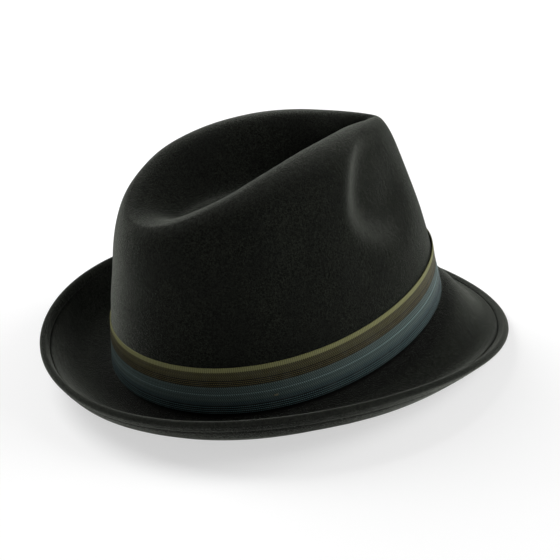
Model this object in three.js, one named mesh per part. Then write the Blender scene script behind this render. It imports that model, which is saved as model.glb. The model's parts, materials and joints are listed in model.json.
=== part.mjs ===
// A short-brimmed felt fedora, as it stands on a table: front of the brim and back of the brim down.
// Millimetres. The hat's own axes, before it is stood on the table: +Z up out of the head opening,
// -Y the front, +X the wearer's left. z = 0 is the break line, where crown and brim meet.
import * as THREE from 'three';
import { mergeVertices } from 'three/addons/utils/BufferGeometryUtils.js';

// ---------------------------------------------------------------- driving dimensions
// The felt's outer face at the break line: an oval that is wider towards the back.
const OPENING = { halfLength: 101.2, halfWidth: 82.8, egg: 0.10, drop: 1.2, sideDrop: 2.4 };

// The crest: the ridge round the top dent, half as wide as the opening and narrow in front.
const CREST = { centreY: -2.8, halfLength: 78.9, halfWidth: 34.9, taper: 0.52, waist: 0.066 };
const CREST_HEIGHT = { mean: 108.7, tilt: 3.0, arch: 7.9 };

// The wall between them: a superellipse. fullness 2 is round, straightness 1 is a straight slope.
const WALL_FULLNESS = { front: 2.45, side: 2.05, back: 2.15 };
const WALL_STRAIGHTNESS = { front: 0.34, side: 0.23, back: 0.52 };

// The teardrop dent in the top falls from the crest to a crease along the middle: the crease's height,
// the share of the way in where that height is reached, and the roll of the crest (above 1 is wider).
const DENT_FLOOR = { front: 86, side: 89.5, back: 90 };
const DENT_REACH = { front: 1, side: 0.95, back: 0.8 };
const DENT_ROUNDING = { front: 1.5, side: 1.05, back: 1.2 };
const CREASE = { front: -55, back: 40 };

// The two pinches in the front of the crown. Their outline is a superellipse of power corner; their
// fall-off is a bell at power 2, so they are crisp behind and open softly towards the front.
const PINCH = {
  depth: 11, y: -58, z: 81.5, back: 30, front: 40, halfHeight: 25.5, fade: 12, crisp: 6, soft: 2.5, corner: 1.75,
};

// The brim's edge, and the slope with which the brim leaves the break and reaches the edge, in degrees.
const EDGE = { halfLength: 134.9, halfWidth: 123.1, egg: 0.037, centreY: 1.7 };
const EDGE_HEIGHT = { mean: 0.2, tilt: -25.0, arch: -6.9 };
const BREAK_SLOPE = { front: -25, side: -13, back: -18 };
const EDGE_SLOPE = { front: -2, side: 65, back: 62 };
const BRIM_HANDLE = 0.52;
const BREAK_FILLET = 2;

const FELT = 2.0;
const FOLDED_EDGE = 4.2;
const FOLD_START = 0.76;
const FOLD_END = 0.82;
const GAP = 0.3;

// The row of stitches runs in a groove that it pulls into both faces of the folded edge.
const STITCH_LINE = 0.925;
const GROOVE = { depth: 0.7, halfShare: 0.028 };
const THREAD_RADIUS = 0.3;

const BAND_HEIGHT = 27;
const BAND_BOTTOM = 1.4;
const BAND_THICKNESS = 0.6;

const SWEATBAND = { bottom: 0.5, top: 38, thickness: 1.1, stitch: 4.5 };
const REED = { radius: 0.9, height: 1.5 };
const REED_TAPE = { bottom: -0.5, top: 9, thickness: 0.4 };
const LINING = { bottom: 30, top: 76, thickness: 0.5, clearance: 2.2, sag: 3 };
const PIPING_RADIUS = 0.9;

// The flat bow on the wearer's left. centre is in degrees round from the front; the other places are
// mm along the band from the knot, towards the rear, and mm out from the band's face.
const BOW = {
  centre: 98,
  tail: { front: -12, rear: 60, thickness: 0.8 },
  loop: { gap: 1.5, front: -28, rear: 46, low: 1.1, flat: 0.9, full: 3.2 },
  knot: { half: 6, low: 3.6, high: 4.6 },
};
const TACK = { height: 8, length: 2.4, width: 0.8, rise: 0.5 };

const STEPS_ROUND = 60;
const STRIP_STEP = 14;          // height of one facet on a strip round the wall
const BOW_LEVELS = 3;           // facets up the height of each piece of the bow
const THREAD_SIDES = 4;
const CORD_SIDES = 6;
const NORMAL_STEP = 0.004;      // of a turn's angle and of a share, for normals by differences
const MERGE_DISTANCE = 1e-4;

const COLOURS = {
  felt: 0x2b2b28, feltThread: 0x1d1d1b, ribbon: 0x4a5a60, ribbonThread: 0x8b8670,
  leather: 0x6b4a33, reed: 0xd8d4c8, tape: 0x33302c, satin: 0x2d2f33, piping: 0x3c3f44,
  label: 0xe6e2d6, bow: 0x24262a,
};

// ---------------------------------------------------------------- the hat's shape, by formula
// t runs once round the hat: 0 at the front, a quarter turn on the wearer's left, half a turn at the back.
const turn = (degrees) => degrees * Math.PI / 180;
const UP = new THREE.Vector3(0, 0, 1);

function blend({ front, side, back }, t) {
  const c = Math.cos(t);
  return side + (front - back) / 2 * c + ((front + back) / 2 - side) * c * c;
}

function breakPoint(t) {
  const { halfLength, halfWidth, egg, drop, sideDrop } = OPENING;
  const c = Math.cos(t);
  const s = Math.sin(t);
  return new THREE.Vector3(halfWidth * s * (1 - egg * c), -halfLength * c, -drop - sideDrop * s * s);
}

function crestPoint(t) {
  const { centreY, halfLength, halfWidth, taper, waist } = CREST;
  const c = Math.cos(t);
  const c2 = Math.cos(2 * t);
  return new THREE.Vector3(
    halfWidth * Math.sin(t) * (1 - taper * c - waist * c2),
    centreY - halfLength * c,
    CREST_HEIGHT.mean + CREST_HEIGHT.tilt * c - CREST_HEIGHT.arch * c2,
  );
}

// Two pinches, left and right, press the front of the crown in.
function pinched(p) {
  const behind = p.y - PINCH.y;
  const along = behind / (behind > 0 ? PINCH.back : PINCH.front);
  const upward = (p.z - PINCH.z) / PINCH.halfHeight;
  const away = (Math.abs(along) ** PINCH.corner + Math.abs(upward) ** PINCH.corner) ** (1 / PINCH.corner);
  const power = THREE.MathUtils.lerp(PINCH.soft, PINCH.crisp, THREE.MathUtils.smoothstep(along, -0.6, 0.3));
  p.x -= Math.tanh(p.x / PINCH.fade) * PINCH.depth * Math.exp(-(away ** power));
  return p;
}

// rise 0 is the top of the fillet at the break, rise 1 the crest; rise is a share of the height.
function wallPoint(t, rise) {
  const foot = breakPoint(t);
  foot.z += BREAK_FILLET;
  const crest = crestPoint(t);
  const power = 2 / blend(WALL_FULLNESS, t);
  const straight = blend(WALL_STRAIGHTNESS, t);
  const sine = Math.min(1, rise ** (1 / power));
  const inward = straight * rise + (1 - straight) * (1 - Math.sqrt(1 - sine * sine) ** power);
  return pinched(new THREE.Vector3(
    THREE.MathUtils.lerp(foot.x, crest.x, inward),
    THREE.MathUtils.lerp(foot.y, crest.y, inward),
    THREE.MathUtils.lerp(foot.z, crest.z, rise),
  ));
}

// share 0 is the crest, share 1 the crease in the middle of the dent.
function dentPoint(t, share) {
  const crest = crestPoint(t);
  const middle = (CREASE.front + CREASE.back) / 2;
  const creaseY = middle - (CREASE.back - CREASE.front) / 2 * Math.cos(t);
  const inward = Math.min(1, share / blend(DENT_REACH, t)) ** blend(DENT_ROUNDING, t);
  const fall = (1 - Math.cos(Math.PI * inward)) / 2;
  return pinched(new THREE.Vector3(
    crest.x * (1 - share),
    THREE.MathUtils.lerp(crest.y, creaseY, share),
    THREE.MathUtils.lerp(crest.z, blend(DENT_FLOOR, t), fall),
  ));
}

// The brim's upper face, from the foot of the break's fillet (share 0) to the edge (share 1).
function brimCurve(t) {
  const { halfLength, halfWidth, egg, centreY } = EDGE;
  const c = Math.cos(t);
  const edge = new THREE.Vector3(
    halfWidth * Math.sin(t) * (1 - egg * c),
    centreY - halfLength * c,
    EDGE_HEIGHT.mean + EDGE_HEIGHT.tilt * c + EDGE_HEIGHT.arch * Math.cos(2 * t),
  );
  const root = breakPoint(t);
  const outward = new THREE.Vector3(edge.x - root.x, edge.y - root.y, 0);
  const reach = outward.length() * BRIM_HANDLE;
  outward.normalize();
  const along = (slope) => outward.clone().multiplyScalar(Math.cos(slope)).setZ(Math.sin(slope));
  const leave = along(turn(blend(BREAK_SLOPE, t)));
  const arrive = along(turn(blend(EDGE_SLOPE, t)));
  return new THREE.CubicBezierCurve3(
    root.clone().addScaledVector(leave, BREAK_FILLET),
    root.clone().addScaledVector(leave, reach),
    edge.clone().addScaledVector(arrive, -reach),
    edge,
  );
}

const brimPoint = (t, share) => brimCurve(t).getPoint(share);

function filletPoint(t, share) {
  return new THREE.QuadraticBezierCurve3(brimPoint(t, 0), breakPoint(t), wallPoint(t, 0)).getPoint(share);
}

// ---------------------------------------------------------------- small tools
// The outward normal of a surface function (t, v), by differences. The brim's shares run outward,
// the others inward and up, so its normal is turned over.
function normalOf(surface, t, v) {
  const acrossT = surface(t + NORMAL_STEP, v).sub(surface(t - NORMAL_STEP, v));
  const low = Math.max(0, v - NORMAL_STEP);
  const high = Math.min(1, v + NORMAL_STEP);
  const acrossV = surface(t, high).sub(surface(t, low));
  return acrossT.cross(acrossV).normalize().multiplyScalar(surface === brimPoint ? -1 : 1);
}

// A point on the wall, at a height in mm above the break, lifted off the felt's outer face.
function onWall(t, height, lift) {
  const rise = (height - BREAK_FILLET) / (crestPoint(t).z - breakPoint(t).z - BREAK_FILLET);
  const safe = THREE.MathUtils.clamp(rise, 0, 0.98);
  const point = wallPoint(t, safe);
  const normal = normalOf(wallPoint, t, safe);
  point.z = breakPoint(t).z + height;
  return point.addScaledVector(normal, lift);
}

function signedVolume(geometry) {
  const position = geometry.attributes.position;
  const corner = (k) => new THREE.Vector3().fromBufferAttribute(position, geometry.index.getX(k));
  let volume = 0;
  for (let k = 0; k < geometry.index.count; k += 3) {
    volume += corner(k).dot(corner(k + 1).cross(corner(k + 2))) / 6;
  }
  return volume;
}

// One closed body from rows of points. Each row is a closed outline whose second half runs back along
// its first. The rows join up in a ring, or the first and last are capped with a strip of triangles
// between the two halves. Points that coincide are merged and empty triangles dropped. After the
// creaseColumn the outline turns back, so no face is made there: the two sides of the hat meet.
function bodyFromRows(rows, { ringClosed, creaseColumn = -1 }) {
  const width = rows[0].length;
  const positions = rows.flat().flatMap((p) => [p.x, p.y, p.z]);
  const index = [];
  const lastRow = ringClosed ? rows.length : rows.length - 1;
  for (let i = 0; i < lastRow; i += 1) {
    for (let j = 0; j < width; j += 1) {
      if (j === creaseColumn) continue;
      const a = i * width + j;
      const b = i * width + (j + 1) % width;
      const c = ((i + 1) % rows.length) * width + (j + 1) % width;
      const d = ((i + 1) % rows.length) * width + j;
      index.push(a, b, c, a, c, d);
    }
  }
  if (!ringClosed) {
    const end = (rows.length - 1) * width;
    for (let j = 0; j < width / 2 - 1; j += 1) {
      const [a, b, c, d] = [j, j + 1, width - 2 - j, width - 1 - j];
      index.push(a, d, c, a, c, b, end + a, end + b, end + c, end + a, end + c, end + d);
    }
  }
  const rough = new THREE.BufferGeometry();
  rough.setAttribute('position', new THREE.Float32BufferAttribute(positions, 3));
  rough.setIndex(index);
  const merged = mergeVertices(rough, MERGE_DISTANCE);
  const kept = [];
  for (let k = 0; k < merged.index.count; k += 3) {
    const [a, b, c] = [0, 1, 2].map((n) => merged.index.getX(k + n));
    if (a !== b && b !== c && c !== a) kept.push(a, b, c);
  }
  merged.setIndex(kept);
  if (signedVolume(merged) < 0) merged.setIndex(kept.reverse());
  merged.computeVertexNormals();
  return merged;
}

// A ring round the hat, from a closed outline that a function gives at each t.
function ring(outline, creaseColumn) {
  const rows = [];
  for (let i = 0; i < STEPS_ROUND; i += 1) {
    rows.push(outline(2 * Math.PI * i / STEPS_ROUND));
  }
  return bodyFromRows(rows, { ringClosed: true, creaseColumn });
}

// A strip on the wall between two heights, of one thickness, its outer face lifted off the felt.
function wallStrip(bottom, top, lift, thickness) {
  const parts = Math.ceil((top - bottom) / STRIP_STEP);
  const heights = Array.from({ length: parts + 1 }, (_, k) => THREE.MathUtils.lerp(bottom, top, k / parts));
  return (t) => [
    ...heights.map((h) => onWall(t, h, lift)),
    ...heights.toReversed().map((h) => onWall(t, h, lift - thickness)),
  ];
}

// A round thread or cord section of a given radius, about a point, in the plane of two directions.
function roundSection(centre, radius, first, second, sides) {
  return Array.from({ length: sides }, (_, k) => {
    const angle = 2 * Math.PI * k / sides;
    return centre.clone()
      .addScaledVector(first, radius * Math.cos(angle))
      .addScaledVector(second, radius * Math.sin(angle));
  });
}

// ---------------------------------------------------------------- felt
function feltThickness(share) {
  return THREE.MathUtils.lerp(FELT, FOLDED_EDGE, THREE.MathUtils.smoothstep(share, FOLD_START, FOLD_END));
}

const grooveDepth = (share) => GROOVE.depth * Math.max(0, 1 - Math.abs(share - STITCH_LINE) / GROOVE.halfShare);

function brimFrame(t, share) {
  const normal = normalOf(brimPoint, t, share);
  const along = brimCurve(t).getTangent(share);
  return { point: brimPoint(t, share), normal, along };
}

const besideStitch = [1, 0, -1].map((side) => STITCH_LINE + side * GROOVE.halfShare);
const BRIM_SHARES = [1, ...besideStitch, FOLD_END, FOLD_START, 0.62, 0.44, 0.22, 0];
const FILLET_SHARES = [0.5];
const WALL_RISES = [0, 0.14, 0.32, 0.45, 0.53, 0.6, 0.68, 0.77, 0.86, 0.93, 0.97];
const DENT_SHARES = [0, 0.12, 0.28, 0.48, 0.72, 1];
const FELT_CREASE = BRIM_SHARES.length + FILLET_SHARES.length + WALL_RISES.length + DENT_SHARES.length - 1;

// The upper and outer face from edge to crease, then the under and inner face back, then the lip.
function feltOutline(t) {
  const outer = [];
  const inner = [];
  const add = (surface, shares, thickness) => {
    for (const share of shares) {
      const point = surface(t, share);
      const normal = normalOf(surface, t, share);
      if (surface === dentPoint && share === 1) normal.setX(0).normalize();
      const groove = surface === brimPoint ? grooveDepth(share) : 0;
      outer.push(point.clone().addScaledVector(normal, -groove));
      inner.push(point.addScaledVector(normal, groove - thickness(share)));
    }
  };
  add(brimPoint, BRIM_SHARES, feltThickness);
  add(filletPoint, FILLET_SHARES, () => FELT);
  add(wallPoint, WALL_RISES, () => FELT);
  add(dentPoint, DENT_SHARES, () => FELT);
  const { point, normal, along } = brimFrame(t, 1);
  const lip = point.clone().addScaledVector(normal, -FOLDED_EDGE / 2);
  const rounding = [-45, 0, 45].map((angle) => lip.clone()
    .addScaledVector(along, FOLDED_EDGE / 2 * Math.cos(turn(angle)))
    .addScaledVector(normal, FOLDED_EDGE / 2 * Math.sin(turn(angle))));
  return [...outer, ...inner.toReversed(), ...rounding];
}

// One thread along the edge, clear of the felt on its upper (1) or under (-1) face.
function edgeThread(side) {
  return (t) => {
    const { point, normal, along } = brimFrame(t, STITCH_LINE);
    const sunk = GROOVE.depth - THREAD_RADIUS - 0.8 * GAP;
    const depth = side > 0 ? -sunk : sunk - feltThickness(STITCH_LINE);
    return roundSection(point.addScaledVector(normal, depth), THREAD_RADIUS, along, normal, THREAD_SIDES);
  };
}

// ---------------------------------------------------------------- band, bow and tacks
const BAND_FACE = GAP + BAND_THICKNESS;
const BAND_TOP = BAND_BOTTOM + BAND_HEIGHT;

// A piece of the bow: an outline of [mm along the band, mm out from the band], carried up the band.
// It stops short of both edges of the band by the given margin.
function bowPiece(outline, margin) {
  const rows = [];
  for (let i = 0; i <= BOW_LEVELS; i += 1) {
    const height = THREE.MathUtils.lerp(BAND_BOTTOM + margin, BAND_TOP - margin, i / BOW_LEVELS);
    rows.push(outline.map(([along, out]) => (
      onWall(turn(BOW.centre) + along / OPENING.halfLength, height, BAND_FACE + GAP + out)
    )));
  }
  return bodyFromRows(rows, { ringClosed: false });
}

// A flat strip, its two faces listed forward and back.
function stripOutline(start, end, low, high, parts) {
  const stations = Array.from({ length: parts + 1 }, (_, k) => THREE.MathUtils.lerp(start, end, k / parts));
  return [...stations.map((s) => [s, low]), ...stations.toReversed().map((s) => [s, high])];
}

// A flattened loop of ribbon: thin at the knot, fullest near its folded end.
function loopOutline(start, end) {
  const { low, flat, full } = BOW.loop;
  const outline = [];
  const parts = 6;
  for (let k = 0; k <= parts; k += 1) {
    outline.push([THREE.MathUtils.lerp(start, end, k / parts), low]);
  }
  for (let k = parts; k >= 0; k -= 1) {
    const share = k / parts;
    const height = flat + (full - flat) * Math.sin(Math.PI * share ** 1.4);
    outline.push([THREE.MathUtils.lerp(start, end, share), low + height]);
  }
  return outline;
}

function tack(degrees, height, lift) {
  const centre = onWall(turn(degrees), height, lift + GAP / 2);
  const normal = onWall(turn(degrees), height, lift + 1).sub(onWall(turn(degrees), height, lift)).normalize();
  const along = onWall(turn(degrees + 1), height, lift).sub(onWall(turn(degrees - 1), height, lift)).normalize();
  const up = new THREE.Vector3().crossVectors(normal, along).normalize();
  const profile = [[0, 0], [1, 0], [0.8, 0.6], [0, 1]].map(([r, h]) => new THREE.Vector2(r, h));
  const dome = new THREE.LatheGeometry(profile, 8);
  const basis = new THREE.Matrix4().makeBasis(
    along.multiplyScalar(TACK.length / 2),
    normal.multiplyScalar(TACK.rise),
    up.multiplyScalar(-TACK.width / 2),
  );
  dome.applyMatrix4(basis.setPosition(centre));
  dome.deleteAttribute('normal');
  dome.deleteAttribute('uv');
  const merged = mergeVertices(dome, MERGE_DISTANCE);
  if (signedVolume(merged) < 0) merged.setIndex([...merged.index.array].reverse());
  merged.computeVertexNormals();
  return merged;
}

// ---------------------------------------------------------------- inside the opening
// Lifts below the felt's outer face: tape on the felt, then reed and sweatband.
const TAPE_FACE = -FELT - GAP;
const SWEAT_FACE = TAPE_FACE - REED_TAPE.thickness - 2 * REED.radius - 2 * GAP;
const SWEAT_INNER = SWEAT_FACE - SWEATBAND.thickness;

function reedSection(t) {
  const centre = onWall(t, REED.height, (TAPE_FACE - REED_TAPE.thickness + SWEAT_FACE) / 2);
  const outward = onWall(t, REED.height, 1).sub(onWall(t, REED.height, 0)).setZ(0).normalize();
  return roundSection(centre, REED.radius, outward, UP, CORD_SIDES);
}

function sweatStitchSection(t) {
  const centre = onWall(t, SWEATBAND.stitch, SWEAT_INNER - 1.5 * GAP - THREAD_RADIUS);
  const outward = onWall(t, SWEATBAND.stitch, 1).sub(onWall(t, SWEATBAND.stitch, 0)).normalize();
  return roundSection(centre, THREAD_RADIUS, outward, UP, THREAD_SIDES);
}

const LINING_FACE = -FELT - LINING.clearance;

function pipingSection(t) {
  const centre = onWall(t, LINING.top, LINING_FACE - LINING.thickness - GAP - PIPING_RADIUS);
  const outward = onWall(t, LINING.top, 1).sub(onWall(t, LINING.top, 0)).setZ(0).normalize();
  return roundSection(centre, PIPING_RADIUS, outward, UP, CORD_SIDES);
}

// The top panel: an oval sheet inside the piping that sags a little in the middle.
function tipOutline(t) {
  const rim = onWall(t, LINING.top, LINING_FACE - LINING.thickness - 2 * GAP - 2 * PIPING_RADIUS);
  const centre = new THREE.Vector3(0, (CREASE.front + CREASE.back) / 2, LINING.top);
  const level = (share, lift) => {
    const point = rim.clone().lerp(centre, share);
    point.z = THREE.MathUtils.lerp(rim.z, LINING.top - LINING.sag, share) + lift;
    return point;
  };
  const shares = [0, 0.4, 1];
  return [
    ...shares.map((share) => level(share, 0)),
    ...shares.toReversed().map((share) => level(share, LINING.thickness)),
  ];
}

// A small flat piece on the inner face of the sweatband, at the back.
function insideTab(fromDegrees, toDegrees, bottom, top, lift, thickness) {
  const rows = [];
  const parts = 4;
  for (let k = 0; k <= parts; k += 1) {
    const t = turn(THREE.MathUtils.lerp(fromDegrees, toDegrees, k / parts));
    rows.push([
      onWall(t, bottom, lift), onWall(t, top, lift),
      onWall(t, top, lift - thickness), onWall(t, bottom, lift - thickness),
    ]);
  }
  return bodyFromRows(rows, { ringClosed: false });
}

// ---------------------------------------------------------------- assembly
const hat = new THREE.Group();

function place(name, geometry, color, roughness) {
  const mesh = new THREE.Mesh(geometry, new THREE.MeshStandardMaterial({ color, roughness, metalness: 0 }));
  mesh.name = name;
  hat.add(mesh);
}

place('felt_body', ring(feltOutline, FELT_CREASE), COLOURS.felt, 0.95);
place('brim_stitch_top', ring(edgeThread(1)), COLOURS.feltThread, 0.8);
place('brim_stitch_under', ring(edgeThread(-1)), COLOURS.feltThread, 0.8);

place('hat_band', ring(wallStrip(BAND_BOTTOM, BAND_TOP, BAND_FACE, BAND_THICKNESS)), COLOURS.ribbon, 0.6);
const { tail, loop, knot } = BOW;
place('bow_tail', bowPiece(stripOutline(tail.front, tail.rear, 0, tail.thickness, 8), 1), COLOURS.ribbon, 0.6);
place('bow_loop_rear', bowPiece(loopOutline(loop.gap, loop.rear), 0.5), COLOURS.ribbon, 0.6);
place('bow_loop_front', bowPiece(loopOutline(-loop.gap, loop.front), 0.5), COLOURS.ribbon, 0.6);
place('bow_knot', bowPiece(stripOutline(-knot.half, knot.half, knot.low, knot.high, 4), 0), COLOURS.ribbon, 0.6);
for (const [name, degrees] of [['front', 0], ['rear', 150], ['right', 243]]) {
  place(`ribbon_tack_${name}`, tack(degrees, BAND_BOTTOM + TACK.height, BAND_FACE), COLOURS.ribbonThread, 0.6);
}

place('reed_tape', ring(wallStrip(REED_TAPE.bottom, REED_TAPE.top, TAPE_FACE, REED_TAPE.thickness)),
  COLOURS.tape, 0.8);
place('sweatband_reed', ring(reedSection), COLOURS.reed, 0.5);
place('sweatband', ring(wallStrip(SWEATBAND.bottom, SWEATBAND.top, SWEAT_FACE, SWEATBAND.thickness)),
  COLOURS.leather, 0.55);
place('sweatband_stitch', ring(sweatStitchSection), COLOURS.tape, 0.7);
place('sweatband_bow', insideTab(175, 185, 16, 24, SWEAT_INNER - GAP, 1.5), COLOURS.bow, 0.6);
place('size_tab', insideTab(188, 196, 14, 30, SWEAT_INNER - GAP, 0.4), COLOURS.label, 0.7);
place('lining_side', ring(wallStrip(LINING.bottom, LINING.top, LINING_FACE, LINING.thickness)), COLOURS.satin, 0.4);
place('lining_piping', ring(pipingSection), COLOURS.piping, 0.4);
place('lining_tip', ring(tipOutline), COLOURS.satin, 0.4);

// ---------------------------------------------------------------- standing on the table
// The hat leans back until the front and the back of its brim are equally low.
function lowest(tilt, half) {
  const felt = hat.getObjectByName('felt_body').geometry.attributes.position;
  let low = Infinity;
  for (let k = 0; k < felt.count; k += 1) {
    const y = felt.getY(k);
    if (Math.sign(y) === half) low = Math.min(low, felt.getZ(k) * Math.cos(tilt) - y * Math.sin(tilt));
  }
  return low;
}

function restingTilt() {
  let [low, high] = [0, turn(20)];
  for (let k = 0; k < 40; k += 1) {
    const middle = (low + high) / 2;
    if (lowest(middle, -1) < lowest(middle, 1)) low = middle;
    else high = middle;
  }
  return low;
}

const standing = new THREE.Group();
standing.add(hat);
hat.rotation.x = -restingTilt();
const box = new THREE.Box3().setFromObject(standing, true);
hat.position.set(0, -(box.min.y + box.max.y) / 2, -box.min.z);

export default standing;
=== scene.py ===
"""A short-brimmed felt fedora: the detailed looks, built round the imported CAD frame.

Shapes are worked out in millimetres in the hat's own axes, as its CAD source does: +Z up out of the head
opening, -Y the front, +X the wearer's left, z = 0 where crown and brim meet. The angle t runs once round
the hat: 0 at the front, a quarter turn on the wearer's left. to_row() puts points into the row frame.
"""
import json
import math
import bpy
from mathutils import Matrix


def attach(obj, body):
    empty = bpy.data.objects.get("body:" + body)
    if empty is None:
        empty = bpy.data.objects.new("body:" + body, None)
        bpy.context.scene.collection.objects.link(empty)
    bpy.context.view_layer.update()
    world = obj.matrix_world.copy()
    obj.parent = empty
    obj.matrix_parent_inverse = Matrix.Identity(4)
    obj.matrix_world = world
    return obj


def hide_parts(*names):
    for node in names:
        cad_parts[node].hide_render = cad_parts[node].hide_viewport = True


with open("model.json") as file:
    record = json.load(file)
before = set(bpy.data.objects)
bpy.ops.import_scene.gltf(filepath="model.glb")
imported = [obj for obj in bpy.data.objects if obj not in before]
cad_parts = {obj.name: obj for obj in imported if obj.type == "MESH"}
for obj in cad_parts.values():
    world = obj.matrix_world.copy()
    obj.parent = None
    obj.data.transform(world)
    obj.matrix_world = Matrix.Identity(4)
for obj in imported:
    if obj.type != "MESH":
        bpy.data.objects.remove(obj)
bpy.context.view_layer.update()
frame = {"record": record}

from types import SimpleNamespace as Sizes

import bmesh
import bpy
import numpy as np
from mathutils import Matrix

# ---------------------------------------------------------------- driving dimensions, most as in the CAD
OPENING = Sizes(half_length=101.2, half_width=82.8, egg=0.10, drop=1.2, side_drop=2.4)
CREST = Sizes(centre_y=-2.8, half_length=78.9, half_width=34.9, taper=0.52, waist=0.066)
CREST_HEIGHT = Sizes(mean=108.7, tilt=3.0, arch=7.9)
DENT_FLOOR = (86, 89.5, 90)            # heights at the front, sides and back, as in each triple below
DENT_REACH = (1, 0.95, 0.8)            # share of the way in from the crest where the floor is reached
DENT_ROUNDING = (1.5, 1.05, 1.2)       # above 1 the crest is a wider roll
WALL_FULLNESS = (2.45, 2.05, 2.15)
WALL_STRAIGHTNESS = (0.34, 0.23, 0.52)
CREASE = Sizes(front=-55, back=40)
PINCH = Sizes(depth=11, y=-58, z=81.5, back=30, front=40, half_height=25.5, fade=12,
              crisp=6, soft=2.5, corner=1.75)
EDGE = Sizes(half_length=134.9, half_width=123.1, egg=0.037, centre_y=1.7)
EDGE_HEIGHT = Sizes(mean=0.2, tilt=-25.0, arch=-6.9)
BREAK_SLOPE = (-25, -13, -18)
EDGE_SLOPE = (-2, 65, 62)
BRIM_HANDLE = 0.52
BREAK_FILLET = 2

FELT = 2.0
FOLDED_EDGE = 4.2
FOLD_END = 0.80                        # share of the brim's width where the folded felt's cut edge lies
STITCH_LINE = 0.925
GROOVE = Sizes(depth=0.6, half_share=0.028)
UNDER_PULL = 0.4                       # the under face's groove as a share of the upper one's
# How far the felt goes to its lighter colour, from 0 to 1, and how wide it is: wear and a painted highlight
# along the brim's edge, its lip and the crown's crest.
WEAR_AND_HIGHLIGHT = Sizes(brim_edge=0.4, brim_from=0.965, lip=0.35, crest=0.5, wall_from=0.93, dent_to=0.16)
# A painted highlight along the rear rim of the pinches: how light, where and how wide.
PINCH_HIGHLIGHT = Sizes(pinch=0.8, away=0.88, width=0.2)
# The same for painted shade and its darker colour: in the bend at the break, and on the inner face
# underneath.
PAINTED_SHADE = Sizes(bend=0.95, starts=0.08, inside=0.6)
PAINTED_SHADE_ENDS = (0.24, 0.36, 0.36)      # share of the brim's width out to which the bend's painted shade fades

BAND = Sizes(bottom=1.4, height=27.0, face=0.62, thickness=0.35)
RIB = Sizes(pitch=1.2, depth=0.05, warp_threads=64, twill_slant=12)
SWEATBAND = Sizes(bottom=0.5, top=38, face=-5.1, thickness=0.9, stitch=4.5, belly=0.9, stitches=190)
TAPE = Sizes(top=9.6, face=-2.3, thickness=0.4)
REED = Sizes(radius=0.85, height=1.5, lift=-3.9)
LINING = Sizes(bottom=30, top=76, face=-4.3, thickness=0.35, sag=4, deepest_fold=2.1)
PIPING_RADIUS = 0.9
LABEL = Sizes(degrees=(188, 196), heights=(14, 30), thickness=0.3)
REAR_BOW = Sizes(height=20, half_height=3.7, half_degrees=5)
BOW = Sizes(centre=98, lift=0.95, tail_front=-12, tail_rear=60, loop_gap=1.5, loop_front=-28,
            loop_rear=46, knot_half=6)
TACK = Sizes(height=8, half_width=0.36, half_length=1.1, thread=0.13)

STITCHES = 200
STITCH_RADIUS = 0.3
ROUND_STEPS = 2 * STITCHES             # every second step is a needle hole
TURN = 2 * math.pi

# ---------------------------------------------------------------- frame of the hat in the row
mount = frame["record"]["mounts"][0]
HAT_ORIGIN = np.array(mount["pos_m"], float)
OPENING_AXIS = np.array(mount["axis"], float)
HAT_AXES = np.array([
    [1, 0, 0],
    [0, -OPENING_AXIS[2], OPENING_AXIS[1]],
    [0, -OPENING_AXIS[1], -OPENING_AXIS[2]],
])
METRE = 1000


def to_row(points):
    """Points in mm and the hat's own axes, as metres in the row frame."""
    return np.asarray(points, float) @ HAT_AXES / METRE + HAT_ORIGIN


# ---------------------------------------------------------------- the hat's shape, by formula
def vec(x, y, z):
    return np.stack(np.broadcast_arrays(x, y, z), axis=-1).astype(float)


def unit(v):
    return v / np.maximum(np.linalg.norm(v, axis=-1, keepdims=True), 1e-12)


def lerp(a, b, share):
    return a + (b - a) * share


def smoothstep(value, low, high):
    share = np.clip((value - low) / (high - low), 0, 1)
    return share * share * (3 - 2 * share)


def blend(values, t):
    front, side, back = values
    c = np.cos(t)
    return side + (front - back) / 2 * c + ((front + back) / 2 - side) * c * c


def ripple(p, wavelength, seed, waves=7):
    """Smooth seeded noise of about -1 to 1 at points in mm: a sum of plane waves."""
    rng = np.random.default_rng(seed)
    total = 0
    for _ in range(waves):
        direction = unit(rng.normal(size=3))
        length = wavelength * rng.uniform(0.7, 1.5)
        total = total + np.sin(p @ direction * TURN / length + rng.uniform(0, TURN))
    return total / math.sqrt(waves)


def break_point(t):
    c, s = np.cos(t), np.sin(t)
    return vec(
        OPENING.half_width * s * (1 - OPENING.egg * c),
        -OPENING.half_length * c,
        -OPENING.drop - OPENING.side_drop * s * s,
    )


def crest_point(t):
    c, c2 = np.cos(t), np.cos(2 * t)
    return vec(
        CREST.half_width * np.sin(t) * (1 - CREST.taper * c - CREST.waist * c2),
        CREST.centre_y - CREST.half_length * c,
        CREST_HEIGHT.mean + CREST_HEIGHT.tilt * c - CREST_HEIGHT.arch * c2,
    )


def from_pinch(p):
    """How far along and how far out from the middle of the pinches p is. 1 is at their rim."""
    behind = p[..., 1] - PINCH.y
    along = behind / np.where(behind > 0, PINCH.back, PINCH.front)
    upward = (p[..., 2] - PINCH.z) / PINCH.half_height
    return along, (np.abs(along) ** PINCH.corner + np.abs(upward) ** PINCH.corner) ** (1 / PINCH.corner)


def pinched(p):
    """The two pinches press the front of the crown in, left and right."""
    along, away = from_pinch(p)
    power = lerp(PINCH.soft, PINCH.crisp, smoothstep(along, -0.6, 0.3))
    p[..., 0] -= np.tanh(p[..., 0] / PINCH.fade) * PINCH.depth * np.exp(-away ** power)
    return p


def hand_blocked(p):
    """Felt is shaped by hand, so the crown is slightly uneven above the ribbon."""
    amount = 0.45 * smoothstep(p[..., 2], 34, 60)
    p[..., 0] += amount * ripple(p * [0, 1, 1], 46, 3) * np.tanh(p[..., 0] / 8)
    p[..., 1] += amount * ripple(p * [0, 1, 1], 52, 4)
    return p


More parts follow.
